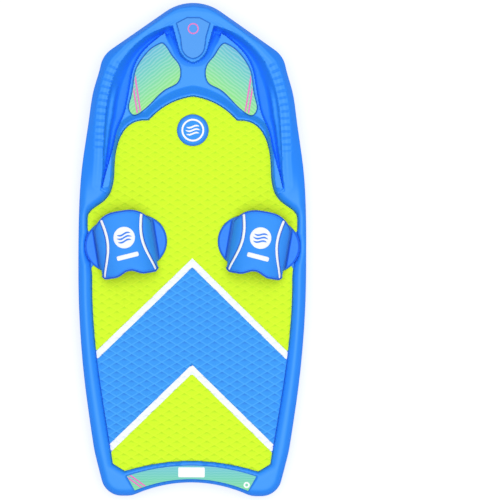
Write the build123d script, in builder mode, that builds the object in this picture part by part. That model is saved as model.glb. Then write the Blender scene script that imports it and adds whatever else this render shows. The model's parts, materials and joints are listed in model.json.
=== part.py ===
"""A kneeboard with a moulded shell, a grip rail on each side, a tow tongue and two foot straps.

Millimetres. +Z is up out of the deck, +Y points to the nose and +X to starboard. The origin is on the
ground under the middle of the board's bounding box, and the strakes and fins stand on Z = 0.
"""

from build123d import *
from math import cos, radians, sin, sqrt
import os

# ---------------------------------------------------------------- driving dimensions
LENGTH = 1340.0
NOSE_Y, TAIL_Y = LENGTH / 2, -LENGTH / 2
CROWN_R, NOSE_SWEEP = 130.0, 35.0  # round of the nose tip, and the sweep of its straight edges
SHOULDER = (222.0, 250.5, 500.0)  # X where the shoulder starts, then the point where it ends
SIDE = [(269, 434), (282, 351), (301, 221), (309, 91), (310, -22), (308.5, -136), (301, -266), (287, -396),
        (268, -526)]
TAIL_CORNER_R, TAIL_CORNER_X, TAIL_SIDE_ANGLE = 56.0, 190.0, 14.5
TAIL_ARC_R, TAIL_ARC_TOP = 373.0, -633.0  # the hollow in the tail
TAIL_TIP_R = 60.0

SPLINE_STEP = 12.0  # between the points of a redrawn curve

WALL = 5.0  # moulded polyethylene
STRAKE = 6.0  # how far the strakes stand below the hull, and so the hull's height over the ground
HULL_Z = STRAKE
PARTING = 44.0  # the seam between hull and deck mouldings, above the keel line
SEAM_FLATTER = 2.0  # how much flatter the seam runs than the keel
NOSE_ROCKER_Y, NOSE_ROCKER_R = 150.0, 2486.0
TAIL_ROCKER_Y, TAIL_ROCKER_R = -420.0, 2239.0

RAIL_Z = 92.0  # top of the rail beside the pad
GRIP_Z = 120.0  # top of the grip rails and the nose
PAN_Z = 70.0  # floor that the foam pads are glued to
PAD_T = 8.0
PLATFORM_Z = 98.0  # nose floor around the tow tongue
GROOVE_Z = 78.0  # floor of the groove for the rope and the fingers
TAIL_BAND_Z = 83.0
INSET_T = 1.6  # graphic insets and badges
RAIL_ROUND, BEVEL = 14.0, 22.0

PAD_GAP = 0.4  # between neighbouring pieces of foam
EMBLEM_Y, EMBLEM_DISC_R = 326.0, 43.0
BADGE_RING_Y = 598.0
DECAL_T, STRIPE_W = 0.5, 4.5
SLOPE = 0.975  # of the chevrons
CHEVRONS = {"front": (-22.4, 24.5), "rear": (-311.5, 25.0)}  # apex, and length along Y

STRAP_X, STRAP_Y, STRAP_TURN = 180.8, 16.9, 9.4  # centre of each foot strap, and its toe-out
WELL_U, WELL_R, WELL_IN = 41.7, 71.0, 46.0  # round pocket under each end of a strap
FAIRING_R, FAIRING_IN, FAIRING_H = 69.0, 82.0, 13.0
ARCH_Z = 80.0  # where the strap's arch springs from
ARCH_V = 95.0  # half length of the arch before it is trimmed to shape
ARCH_TOE, ARCH_HEEL = 46.0, 66.0  # height of the arch inside the liner, at its two ends
LINER_A, LINER_T = 64.0, 7.5  # half width inside the liner, and its thickness
TAPE_T, TAPE_GAP = 1.5, 0.4  # hook tape and loop tape, each
COVER_T, TRIM_T = 4.6, 1.4
COVER_EDGE_Z = 95.0  # lower edge of the cover, on which it swings
EMBLEM_R, EMBLEM_V, BAR_V = 29.0, 16.0, -33.0
TOE_V, HEEL_V = 87.0, -73.0  # the strap's two edges at its middle
PIPING = [(56, 82), (50, 50), (47, 18), (49, -15), (59, -45), (70, -84)]
PIPING_W = 5.0
FLANGE_T, FLANGE_V = 3.0, 56.0  # the liner's feet, under the clamp plates
PLATE_U, PLATE_W, PLATE_L, PLATE_T = 55.5, 14.0, 104.0, 2.5
SCREW_V, SCREW_R, HEAD_R, HEAD_H, SCREW_L = 38.0, 2.5, 4.6, 2.6, 16.0
INSERT_R, INSERT_L = 5.0, 18.0

PLATFORM_SIDE = [(94, 576), (120, 554), (148, 520), (163, 484), (169, 452), (178, 400), (187, 366),
                 (203, 330), (214, 285), (230, 225), (244, 168)]
PETAL = [(88, 559), (116, 542), (140, 514), (156, 482), (161, 450), (169, 407), (172, 380), (162, 367),
         (142, 374), (106, 407), (70, 438.5), (42, 455), (35, 474), (40.5, 504), (58, 526), (74, 551)]

FIN_X, FIN_W = 138.0, 20.0
FIN_SIDE = [(-448, 5.5), (-525, 0), (-630, 0), (-641, 8), (-641, 40), (-448, 40)]
STRAKE_IN = [(81, 425), (88.5, 330), (91.5, 150), (91.5, -150), (89, -400), (86, -560)]
STRAKE_OUT = [(234, 215), (239, 40), (233, -180), (221, -350), (203, -468), (190, -560)]


def save(piece, name):
    """Label a finished piece and write its STEP file."""
    piece.label = name
    export_step(piece, f"parts/{name}.step")


def grown(shape, amount):
    """A plan shape grown by amount all round, with its offset curves redrawn as plain splines."""
    if amount == 0:
        return shape
    with BuildSketch() as result:
        with BuildLine():
            for edge in offset(shape, amount).face().outer_wire().order_edges():
                if edge.geom_type in (GeomType.LINE, GeomType.CIRCLE):
                    add(edge)
                else:
                    steps = max(3, round(edge.length / SPLINE_STEP))
                    Spline(*[edge @ (i / steps) for i in range(steps + 1)], tangents=(edge % 0, edge % 1))
        make_face()
    return result.sketch


# ---------------------------------------------------------------- plan outline and side profiles
def plan_outline(inset=0.0):
    """The board seen from above, as a face, drawn in by inset."""
    sweep = radians(NOSE_SWEEP)
    crown_end = (CROWN_R * sin(sweep), NOSE_Y - CROWN_R + CROWN_R * cos(sweep))
    shoulder_start = (SHOULDER[0], crown_end[1] - (SHOULDER[0] - crown_end[0]) * sin(sweep) / cos(sweep))
    side = radians(TAIL_SIDE_ANGLE)
    corner = (TAIL_CORNER_X, TAIL_Y + TAIL_CORNER_R)
    side_end = (corner[0] + TAIL_CORNER_R * cos(side), corner[1] - TAIL_CORNER_R * sin(side))
    tail_centre_y = TAIL_ARC_TOP - TAIL_ARC_R
    rise = TAIL_Y + TAIL_TIP_R - tail_centre_y
    tip_x = sqrt((TAIL_ARC_R + TAIL_TIP_R) ** 2 - rise**2)
    reach = TAIL_ARC_R / (TAIL_ARC_R + TAIL_TIP_R)
    tip_end = (tip_x * reach, tail_centre_y + rise * reach)
    with BuildSketch() as outline:
        with BuildLine():
            crown = CenterArc((0, NOSE_Y - CROWN_R), CROWN_R, 90, -NOSE_SWEEP)
            edge = Line(crown @ 1, shoulder_start)
            shoulder = TangentArc(edge @ 1, SHOULDER[1:], tangent=edge % 1)
            Spline(shoulder @ 1, *SIDE, side_end, tangents=(shoulder % 1, (-sin(side), -cos(side))))
            round_ = CenterArc(corner, TAIL_CORNER_R, -TAIL_SIDE_ANGLE, -(90 - TAIL_SIDE_ANGLE))
            flat = Line(round_ @ 1, (tip_x, TAIL_Y))
            TangentArc(flat @ 1, tip_end, tangent=flat % 1)
            half = tip_end[0] / 2
            ThreePointArc(tip_end, (half, tail_centre_y + sqrt(TAIL_ARC_R**2 - half**2)), (0, TAIL_ARC_TOP))
            mirror(about=Plane.YZ)
        make_face()
    return grown(outline.sketch, -inset)


def keel_line(lift, flatter=1.0):
    """The rockered keel from tail to nose, moved up by lift. Its curves' radii are multiplied by flatter."""
    level = HULL_Z + lift
    reach = NOSE_Y + 30
    tail_r, nose_r = TAIL_ROCKER_R * flatter, NOSE_ROCKER_R * flatter
    tail_rise = tail_r - sqrt(tail_r**2 - (reach + TAIL_ROCKER_Y) ** 2)
    nose_rise = nose_r - sqrt(nose_r**2 - (reach - NOSE_ROCKER_Y) ** 2)
    tail = TangentArc((TAIL_ROCKER_Y, level), (-reach, level + tail_rise), tangent=(-1, 0))
    Line((TAIL_ROCKER_Y, level), (NOSE_ROCKER_Y, level))
    nose = TangentArc((NOSE_ROCKER_Y, level), (reach, level + nose_rise), tangent=(1, 0))
    return tail @ 1, nose @ 1


def seam_line():
    """The seam between the hull and deck mouldings, seen from the side."""
    return keel_line(PARTING, flatter=SEAM_FLATTER)


def deck_line(drop=0.0):
    """The rail's top from tail to nose: low beside the pad, and rising to the grips."""
    reach = NOSE_Y + 30
    low, high = RAIL_Z - drop, GRIP_Z - drop
    tail = Spline((-reach, low - 10), (-420, low), tangents=((1, 0.06), (1, 0)))
    Line((-420, low), (100, low))
    Bezier((100, low), (180, low), (260, high), (340, high))
    nose = Line((340, high), (reach, high))
    return tail @ 0, nose @ 1


def slab(lower, upper, width=350.0):
    """Everything between two side-view lines, across the whole board."""
    with BuildPart() as part:
        with BuildSketch(Plane.YZ):
            with BuildLine():
                low = lower()
                high = upper()
                Line(low[0], high[0])
                Line(low[1], high[1])
            make_face()
        extrude(amount=width, both=True)
    return part.part


# ---------------------------------------------------------------- plan shapes of the deck
def pad_sketch(grow=0.0):
    """Outline of the foam pad field, with its two lobes in front of the foot straps."""
    half = [(188, 322), (203, 290), (212, 235), (220, 165), (236, 137), (262, 117)]
    with BuildSketch() as pad:
        with BuildLine():
            front = ThreePointArc((0, 417.5), (62, 398), (120, 352))
            Spline(front @ 1, *half, (281, 100), (285, 88))
            Polyline((285, 88), (285, 62), (272, -72))
            Spline((272, -72), (261, -273), (240, -423), (214, -582))
            Line((214, -582), (182, -602))
            ThreePointArc((182, -602), (93, -581), (0, -573))
            mirror(about=Plane.YZ)
        make_face()
    return grown(pad.sketch, grow)


def basin_sketch(grow=0.0):
    """The sunk nose floor, inside the nose lip and the grip rails."""
    with BuildSketch() as basin:
        with BuildLine():
            lip = Line((0, 612), (62, 606))
            Spline(lip @ 1, (110, 588), (160, 551), (200, 500), (224, 437), (236, 365), (240, 300),
                   (243, 243), (251, 160), tangents=((1, -0.3), (0.15, -1)))
            Line((251, 160), (225, 150))
            Line((225, 150), (0, 150))
            mirror(about=Plane.YZ)
        make_face()
    return grown(basin.sketch, grow)


def platform_sketch(grow=0.0):
    """The raised nose floor that carries the graphics. Round it runs the groove for fingers and tow rope."""
    with BuildSketch() as platform:
        with BuildLine():
            fore = Spline((0, 496), (27, 501), (47, 521), (59.5, 550), (77, 588),
                          tangents=((1, 0), (0.3, 1)))
            side = Spline(fore @ 1, *PLATFORM_SIDE)
            Polyline(side @ 1, (225, 150), (0, 150))
            mirror(about=Plane.YZ)
        make_face()
    return grown(platform.sketch, grow)


def tongue_sketch(grow=0.0):
    """The tow tongue, from the nose lip back to its rounded end."""
    with BuildSketch() as tongue:
        with BuildLine():
            side = Line((60, 625), (38, 545))
            end = TangentArc(side @ 1, (0, 507.5), tangent=side % 1)
            Line((60, 625), (0, 625))
            mirror(about=Plane.YZ)
        make_face()
    return grown(tongue.sketch, grow)


def petal_sketch(side, grow=0.0):
    """The graphic on one side of the nose."""
    with BuildSketch() as petal:
        with BuildLine():
            Spline(*[(side * x, y) for x, y in PETAL], periodic=True)
        make_face()
    return grown(petal.sketch, grow)


def tail_band_sketch(grow=0.0):
    """The curved graphic between the pad and the tail edge."""
    with BuildSketch() as band:
        with BuildLine():
            fore = ThreePointArc((-176, -615), (0, -586), (176, -615))
            aft = ThreePointArc((-154, -654), (0, -622.5), (154, -654))
            Line(fore @ 0, aft @ 0)
            Line(fore @ 1, aft @ 1)
        make_face()
    return grown(band.sketch, grow)


def badge_sketch(grow=0.0):
    """The plate on top of the tow tongue."""
    with BuildSketch() as badge:
        with BuildLine():
            Polyline((0, 626), (17, 626), (43.5, 612), (33, 576), (29.5, 548))
            TangentArc((29.5, 548), (0, 518.5), tangent=(-0.15, -1))
            mirror(about=Plane.YZ)
        make_face()
    return grown(badge.sketch, grow)


def chevron_sketch(apex, depth):
    """A chevron band across the whole board, pointing to the nose."""
    x, drop = 330.0, 330.0 * SLOPE
    with BuildSketch() as band:
        with BuildLine():
            Polyline((0, apex), (x, apex - drop), (x, apex - drop - depth), (0, apex - depth),
                     (-x, apex - drop - depth), (-x, apex - drop), close=True)
        make_face()
    return band.sketch


def prism(sketch, bottom, top):
    """The sketch extruded between two heights."""
    with BuildPart() as part:
        with BuildSketch(Plane.XY.offset(bottom)):
            add(sketch)
        extrude(amount=top - bottom)
    return part.part


STRAPS = {
    side: Plane(origin=(sign * STRAP_X, STRAP_Y, 0), z_dir=(0, 0, 1),
                x_dir=(cos(radians(STRAP_TURN)), -sign * sin(radians(STRAP_TURN)), 0))
    for side, sign in (("left", -1), ("right", 1))
}  # each strap's own frame: u across it, v along the foot


def segment_sketch(radius, inner, sign):
    """The part of a round strap end beyond the line u = inner, on one side of the strap."""
    with BuildSketch() as shape:
        with Locations((sign * WELL_U, 0)):
            Circle(radius)
        with Locations((sign * (inner + 100), 0)):
            Rectangle(200, 300, mode=Mode.INTERSECT)
    return shape.sketch


# ---------------------------------------------------------------- shell and foam
def rim_edges(form, upward):
    """The edges where the form's wall meets its top, or its bottom."""
    wall_edges = form.faces().filter_by(lambda face: abs(face.normal_at().Z) < 0.02).edges()
    sign = 1 if upward else -1
    caps = form.faces().filter_by(lambda face: sign * face.normal_at().Z > 0.5)
    return caps.edges().filter_by(lambda edge: edge in wall_edges)


def in_tail_hollow(edge):
    """True for the rim of the hollow in the tail, which has no bevel."""
    return edge.center().Y < -630 and abs(edge.center().X) < 120


def board_form(inset=0.0):
    """The whole board with a bevelled lower rim and a rounded upper rim, drawn in all round by inset."""
    with BuildPart() as form:
        add(prism(plan_outline(inset), -10, 150))
        add(slab(lambda: keel_line(inset), lambda: deck_line(inset)), mode=Mode.INTERSECT)
        fillet(rim_edges(form, upward=True), RAIL_ROUND - inset)
        chamfer(rim_edges(form, upward=False).filter_by(lambda edge: not in_tail_hollow(edge)), BEVEL)
    return form.part


def ring_sketch(outer, *inner):
    """One plan shape with others taken out of it."""
    with BuildSketch() as ring:
        add(outer)
        for shape in inner:
            add(shape, mode=Mode.SUBTRACT)
    return ring.sketch


def deck_recesses(grow=0.0):
    """Solids that sink the deck's features. The foam core's are larger by grow all round."""
    top = GRIP_Z + 40
    tongue = tongue_sketch(-grow)
    tools = [
        prism(pad_sketch(1 + grow), PAN_Z - grow, top),
        prism(ring_sketch(basin_sketch(grow), tongue), PLATFORM_Z - grow, top),
        prism(ring_sketch(basin_sketch(grow), tongue, platform_sketch(-grow)), GROOVE_Z - grow, top),
        prism(tail_band_sketch(0.5 + grow), TAIL_BAND_Z - grow, top),
        prism(badge_sketch(0.3 + grow), GRIP_Z - INSET_T - grow, top),
    ]
    for side in (-1, 1):
        tools.append(prism(petal_sketch(side, 0.3 + grow), PLATFORM_Z - INSET_T - grow, top))
        well = prism(segment_sketch(WELL_R + grow, WELL_IN - grow, side), PAN_Z - grow, top)
        tools += [STRAPS["left"].location * well, STRAPS["right"].location * well]
    return tools


def strake(points, width, depth):
    """A strake that follows the keel, on both sides of the board. The points are its outboard edge."""
    inboard = [(x - width, y) for x, y in points[1:-1]]
    with BuildPart() as part:
        with BuildSketch(Plane.XY.offset(-10)):
            with BuildLine():
                Spline(*points)
                Spline(points[0], *inboard, points[-1])
            make_face()
        extrude(amount=100)
        mirror(about=Plane.YZ)
        add(slab(lambda: keel_line(-depth), lambda: keel_line(2)), mode=Mode.INTERSECT)
    return part.part


def fins():
    """The two moulded fins under the tail, which run into the hull at their tops."""
    with BuildPart() as part:
        with BuildSketch(Plane.YZ.offset(FIN_X - FIN_W / 2)):
            with BuildLine():
                Polyline(*FIN_SIDE, close=True)
            make_face()
        extrude(amount=FIN_W)
        add(slab(lambda: keel_line(-30), lambda: keel_line(2)), mode=Mode.INTERSECT)
        mirror(about=Plane.YZ)
    return part.part


def screw_columns(radius, bottom, top, name):
    """Upright cylinders on the four screws of one strap."""
    with BuildPart() as part:
        with BuildSketch(STRAPS[name].offset(bottom)):
            with GridLocations(2 * PLATE_U, 2 * SCREW_V, 2, 2):
                Circle(radius)
        extrude(amount=top - bottom)
    return part.part


def build_shell():
    """The foam core, and the hull and deck mouldings round it."""
    with BuildPart() as core:
        add(board_form(WALL))
        for tool in deck_recesses(WALL):
            add(tool, mode=Mode.SUBTRACT)
    with BuildPart() as hull:
        add(board_form())
        add(strake(STRAKE_IN, 16, STRAKE))
        add(strake(STRAKE_OUT, 7, STRAKE - 2))
        add(fins())
        add(slab(lambda: keel_line(-30), seam_line), mode=Mode.INTERSECT)
        add(core.part, mode=Mode.SUBTRACT)
    with BuildPart() as deck:
        add(board_form())
        add(slab(seam_line, lambda: keel_line(200)), mode=Mode.INTERSECT)
        for tool in deck_recesses():
            add(tool, mode=Mode.SUBTRACT)
        add(core.part, mode=Mode.SUBTRACT)
        for name in STRAPS:
            add(screw_columns(INSERT_R, PAN_Z - INSERT_L, PAN_Z, name), mode=Mode.SUBTRACT)
    with BuildPart() as drilled_core:
        add(core.part)
        for name in STRAPS:
            add(screw_columns(INSERT_R + 0.3, PAN_Z - INSERT_L - 0.5, PAN_Z, name), mode=Mode.SUBTRACT)
    save(drilled_core.part, "foam_core")
    save(hull.part, "hull_shell")
    save(deck.part, "deck_shell")


# ---------------------------------------------------------------- pads and graphics
def pad_field(fore, aft):
    """The part of the foam pad between two chevron lines, cut round the straps and the emblem."""
    with BuildPart() as part:
        with BuildSketch(Plane.XY.offset(PAN_Z)):
            add(pad_sketch())
            add(chevron_sketch(fore, fore - aft), mode=Mode.INTERSECT)
            with Locations((0, EMBLEM_Y)):
                Circle(EMBLEM_DISC_R + PAD_GAP, mode=Mode.SUBTRACT)
            for plane in STRAPS.values():
                for side in (-1, 1):
                    add(plane.location * segment_sketch(WELL_R, WELL_IN, side), mode=Mode.SUBTRACT)
        extrude(amount=PAD_T)
    return part.part


def build_pads():
    """Three foam fields and the two chevrons between them."""
    (front, front_depth), (rear, rear_depth) = CHEVRONS["front"], CHEVRONS["rear"]
    far = 1000.0
    save(pad_field(far, front + PAD_GAP), "deck_pad_front")
    save(pad_field(front, front - front_depth), "pad_chevron_front")
    save(pad_field(front - front_depth - PAD_GAP, rear + PAD_GAP), "deck_pad_middle")
    save(pad_field(rear, rear - rear_depth), "pad_chevron_rear")
    save(pad_field(rear - rear_depth - PAD_GAP, -far), "deck_pad_rear")


def disc(radius, centre, bottom, thickness, hole=0.0):
    """A flat disc or ring lying on the deck."""
    with BuildPart() as part:
        with BuildSketch(Plane.XY.offset(bottom)):
            with Locations(centre):
                Circle(radius)
                if hole:
                    Circle(hole, mode=Mode.SUBTRACT)
        extrude(amount=thickness)
    return part.part


def stripes(shape, x, y, angle, bottom, thickness):
    """Two thin parallel stripes across a graphic, trimmed to its shape."""
    with BuildPart() as part:
        with BuildSketch(Plane.XY.offset(bottom)):
            add(shape)
            with BuildSketch(mode=Mode.INTERSECT):
                with Locations(Location((x, y), angle)):
                    with GridLocations(2 * STRIPE_W, 0, 2, 1):
                        Rectangle(STRIPE_W, 400)
        extrude(amount=thickness)
    return part.part


def build_graphics():
    """The emblem on the pad, and the inlaid graphics of nose, tongue and tail."""
    save(disc(EMBLEM_DISC_R, (0, EMBLEM_Y), PAN_Z, PAD_T), "pad_emblem_disc")
    save(disc(EMBLEM_DISC_R - 12, (0, EMBLEM_Y), PAN_Z + PAD_T, 0.6, EMBLEM_DISC_R - 17), "pad_emblem_mark")
    for name, side in (("left", -1), ("right", 1)):
        save(prism(petal_sketch(side), PLATFORM_Z - INSET_T, PLATFORM_Z), f"nose_inset_{name}")
        across = petal_sketch(side, -2)
        save(stripes(across, side * 153, 415, side * -9, PLATFORM_Z, DECAL_T), f"nose_stripes_{name}")
    save(prism(badge_sketch(), GRIP_Z - INSET_T, GRIP_Z), "tongue_badge")
    save(disc(15, (0, BADGE_RING_Y), GRIP_Z, DECAL_T, 11.5), "tongue_ring")
    save(prism(tail_band_sketch(), TAIL_BAND_Z, TAIL_BAND_Z + INSET_T), "tail_graphic")
    top = TAIL_BAND_Z + INSET_T
    save(stripes(tail_band_sketch(-1), -153, -628, 54, top, DECAL_T), "tail_stripes")
    with BuildPart() as label:
        with BuildSketch(Plane.XY.offset(top)):
            with Locations((0, -604)):
                RectangleRounded(72, 27, 3)
            with Locations((150, -638)):
                Circle(8.5)
                Circle(4, mode=Mode.SUBTRACT)
        extrude(amount=DECAL_T)
    save(label.part, "tail_label")


# ---------------------------------------------------------------- foot straps
def arch(grow):
    """The space under the strap out to grow beyond the liner's inner face, low at the toe."""
    width = LINER_A + grow
    with BuildPart() as part:
        for v, height in ((-ARCH_V, ARCH_HEEL + grow), (ARCH_V, ARCH_TOE + grow)):
            with BuildSketch(Plane.XZ.offset(-v)):
                with Locations((0, ARCH_Z)):
                    Ellipse(width, height)
                with Locations((0, ARCH_Z - 100)):
                    Rectangle(400, 200, mode=Mode.SUBTRACT)
        loft()
    return part.part


def arch_layer(inner, outer):
    """One layer of the strap, between two distances from the liner's inner face."""
    with BuildPart() as part:
        add(arch(outer))
        add(arch(inner), mode=Mode.SUBTRACT)
    return part.part


def strap_plan(narrower=0.0):
    """The strap seen from above: a curved toe edge and a wavy heel edge."""
    with BuildSketch() as plan:
        with BuildLine():
            toe, heel = TOE_V - narrower, HEEL_V + narrower
            Spline((0, toe), (50, toe - 7), (84, toe - 16), tangents=((1, 0), (1, -0.35)))
            Line((84, toe - 16), (84, heel - 6))
            Spline((84, heel - 6), (44, heel - 12), (0, heel), tangents=((-1, -0.3), (-1, 0)))
            mirror(about=Plane.YZ)
        make_face()
    return plan.sketch


def trimmed(layer, plan, bottom=0.0):
    """The part of a strap layer that lies over a plan shape, and above a height."""
    with BuildPart() as part:
        add(layer)
        add(prism(plan, bottom, 300), mode=Mode.INTERSECT)
    return part.part


def liner():
    """The padded lower strap, with a foot along each side that its clamp plates hold down."""
    with BuildPart() as part:
        add(trimmed(arch_layer(0, LINER_T), strap_plan()))
        for side in (-1, 1):
            with BuildSketch(Plane.XY.offset(PAN_Z)):
                with Locations((side * (LINER_A + LINER_T / 2), 0)):
                    Rectangle(LINER_T, 2 * FLANGE_V)
            extrude(amount=ARCH_Z - PAN_Z + 0.5)
            with BuildSketch(Plane.XY.offset(PAN_Z)):
                with Locations((side * (PLATE_U + 1.5), 0)):
                    Rectangle(PLATE_W + 6, 2 * FLANGE_V)
                with Locations((side * PLATE_U, -SCREW_V), (side * PLATE_U, SCREW_V)):
                    Circle(SCREW_R + 0.3, mode=Mode.SUBTRACT)
            extrude(amount=FLANGE_T)
    return part.part


def clamp_plates():
    """The two plates that clamp one liner's feet to the deck."""
    with BuildPart() as part:
        with BuildSketch(Plane.XY.offset(PAN_Z + FLANGE_T)):
            with GridLocations(2 * PLATE_U, 0, 2, 1):
                RectangleRounded(PLATE_W, PLATE_L, 4)
            with GridLocations(2 * PLATE_U, 2 * SCREW_V, 2, 2):
                Circle(SCREW_R + 0.2, mode=Mode.SUBTRACT)
        extrude(amount=PLATE_T)
        chamfer(part.faces().sort_by(Axis.Z)[-1].outer_wire().edges(), 0.6)
    return part.part


def strap_screws():
    """Four pan-head screws with a cross slot in each head."""
    head_z = PAN_Z + FLANGE_T + PLATE_T
    with BuildPart() as part:
        with BuildSketch(Plane.XY.offset(head_z - SCREW_L)):
            with GridLocations(2 * PLATE_U, 2 * SCREW_V, 2, 2):
                Circle(SCREW_R)
        extrude(amount=SCREW_L)
        with BuildSketch(Plane.XY.offset(head_z)):
            with GridLocations(2 * PLATE_U, 2 * SCREW_V, 2, 2):
                Circle(HEAD_R)
        extrude(amount=HEAD_H)
        fillet(part.faces().filter_by(Axis.Z).group_by(Axis.Z)[-1].edges(), 1.2)
        with BuildSketch(Plane.XY.offset(head_z + HEAD_H)):
            with GridLocations(2 * PLATE_U, 2 * SCREW_V, 2, 2):
                Rectangle(5, 1.1)
                Rectangle(1.1, 5)
        extrude(amount=-1.4, mode=Mode.SUBTRACT)
    return part.part


def inserts():
    """Four threaded inserts moulded into the deck under one strap."""
    with BuildPart() as part:
        with BuildSketch(Plane.XY.offset(PAN_Z - INSERT_L)):
            with GridLocations(2 * PLATE_U, 2 * SCREW_V, 2, 2):
                Circle(INSERT_R)
        extrude(amount=INSERT_L)
        with BuildSketch(Plane.XY.offset(PAN_Z)):
            with GridLocations(2 * PLATE_U, 2 * SCREW_V, 2, 2):
                Circle(SCREW_R)
        extrude(amount=-(INSERT_L - 3), mode=Mode.SUBTRACT)
    return part.part


def fairing(side):
    """The D-shaped moulding outboard or inboard of the strap."""
    with BuildPart() as part:
        with BuildSketch(Plane.XY.offset(PAN_Z)):
            add(segment_sketch(FAIRING_R, FAIRING_IN, side))
        extrude(amount=FAIRING_H)
        chamfer(part.faces().sort_by(Axis.Z)[-1].edges(), 3)
    return part.part


def piping_plan():
    """The two curved lines of piping on the cover, seen from above."""
    with BuildSketch() as plan:
        with BuildLine():
            outer = Spline(*PIPING)
            inner = Spline(*[(u - PIPING_W, v) for u, v in PIPING])
            Line(outer @ 0, inner @ 0)
            Line(outer @ 1, inner @ 1)
        make_face()
        mirror(about=Plane.YZ)
    return plan.sketch


def build_straps():
    """Both foot straps, piece by piece."""
    tape_in = LINER_T
    hook_in = tape_in + TAPE_T + TAPE_GAP
    cover_in = hook_in + TAPE_T
    cover_out = cover_in + COVER_T
    with BuildSketch() as emblem_plan:
        with Locations((0, EMBLEM_V)):
            Circle(EMBLEM_R)
    with BuildSketch() as bar_plan:
        with Locations(Location((0, BAR_V), 4)):
            RectangleRounded(62, 13, 4)
    pieces = {
        "strap_liner": liner(),
        "clamp_plates": clamp_plates(),
        "strap_screws": strap_screws(),
        "strap_inserts": inserts(),
        "cover_shell": trimmed(arch_layer(cover_in, cover_out), strap_plan(), COVER_EDGE_Z),
        "cover_piping": trimmed(arch_layer(cover_out, cover_out + TRIM_T), piping_plan(), COVER_EDGE_Z),
        "cover_emblem": trimmed(arch_layer(cover_out, cover_out + TRIM_T), emblem_plan.sketch),
        "cover_badge": trimmed(arch_layer(cover_out, cover_out + TRIM_T), bar_plan.sketch),
    }
    for name, plane in STRAPS.items():
        inboard = 1 if name == "left" else -1
        with BuildSketch() as tape_plan:
            with Locations((inboard * 62, 0)):
                Rectangle(40, 96)
        local = dict(pieces)
        tape_low = COVER_EDGE_Z + 2
        local["loop_tape"] = trimmed(arch_layer(tape_in, tape_in + TAPE_T), tape_plan.sketch, tape_low)
        local["hook_tape"] = trimmed(arch_layer(hook_in, cover_in), tape_plan.sketch, tape_low)
        local["fairing_inboard"] = fairing(inboard)
        local["fairing_outboard"] = fairing(-inboard)
        for piece, solid in local.items():
            save(plane.location * solid, f"{name}_{piece}")


def main():
    """Build and write every piece."""
    os.makedirs("parts", exist_ok=True)
    build_pads()
    build_graphics()
    build_straps()
    build_shell()


main()
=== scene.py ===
"""A kneeboard, deck up on a pale floor, seen from straight above.

Plan shapes and heights are in millimetres until a mesh is made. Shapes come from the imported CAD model.
The rims of its nodes' level faces are read as closed plan loops, and the deck, hull and pads are
surfaces over a plan lattice, whose height at each point follows from how far it is from those rims.
"""

import json
import math
from collections import Counter, defaultdict

import bmesh
import bpy
import numpy as np
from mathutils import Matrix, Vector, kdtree


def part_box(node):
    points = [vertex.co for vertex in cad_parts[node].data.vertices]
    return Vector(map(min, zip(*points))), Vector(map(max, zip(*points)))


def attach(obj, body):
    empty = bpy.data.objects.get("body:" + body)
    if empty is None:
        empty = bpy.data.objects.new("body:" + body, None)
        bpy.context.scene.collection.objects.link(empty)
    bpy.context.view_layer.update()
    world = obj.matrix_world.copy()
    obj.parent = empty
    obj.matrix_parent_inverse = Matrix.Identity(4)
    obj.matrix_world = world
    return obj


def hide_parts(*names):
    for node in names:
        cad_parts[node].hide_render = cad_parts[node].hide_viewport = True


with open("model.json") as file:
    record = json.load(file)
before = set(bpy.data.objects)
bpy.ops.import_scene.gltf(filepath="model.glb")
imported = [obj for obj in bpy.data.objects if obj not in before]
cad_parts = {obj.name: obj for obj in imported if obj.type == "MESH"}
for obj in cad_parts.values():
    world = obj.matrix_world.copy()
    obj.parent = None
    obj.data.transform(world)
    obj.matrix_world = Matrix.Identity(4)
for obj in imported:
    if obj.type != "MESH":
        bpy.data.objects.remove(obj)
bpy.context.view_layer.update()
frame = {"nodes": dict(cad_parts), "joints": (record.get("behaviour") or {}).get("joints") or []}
SIDES = {"left": -1, "right": 1}
RIM_STEP = 0.4  # between the points that a rim is measured from
PAN_Z, PAD_TOP = 70.0, 78.0  # the pan's floor, and the foam that lies in it
PLATFORM_Z, GROOVE_Z, TOP_Z, RAIL_Z = 98.0, 78.0, 120.0, 92.0
ROCKER_NOSE, ROCKER_TAIL = 150, -420  # where the keel starts to curve up
KEEL_Z, KEEL_RADII = 6, (2486, 2239)  # at the nose and at the tail
SEAM_Z, SEAM_RADII = 50, (4972, 4478)
SKIN, CORE_GAP = 5.0, 7  # a moulding's wall, and the foam core's distance from its outer face
BAND_Z, INSET = 83.0, 1.6  # the tail band's floor, and how deep the nose graphics are let in
ROLL_Z, LOW_Z = 79.5, 79  # just over the foam, where the mouldings meet it
FIN_X, FIN_HALF, FIN_TIP = 138, 10.5, -632
RINGS_Y, RING_RADII = 534, (64, 44)  # the two shallow rings under the nose
RIB_PITCH, RIB_DEPTH = 18, 2.0
EMBLEM_Y = 326
COARSE = 10.0  # the lattice of faces that are never seen


# --- reading plan shapes from the frame
def length_of(vectors):
    return np.linalg.norm(vectors, axis=1)


def mesh_arrays(node):
    """A CAD node's corners in mm and its triangles, with corners at the same place joined."""
    mesh = frame["nodes"][node].data
    mesh.calc_loop_triangles()
    corners = np.empty(len(mesh.vertices) * 3)
    mesh.vertices.foreach_get("co", corners)
    corners = corners.reshape(-1, 3) * 1000
    triangles = np.empty(len(mesh.loop_triangles) * 3, dtype=int)
    mesh.loop_triangles.foreach_get("vertices", triangles)
    _, first, which = np.unique(np.round(corners, 3), axis=0, return_index=True, return_inverse=True)
    return corners[first], which.reshape(-1)[triangles].reshape(-1, 3)


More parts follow.
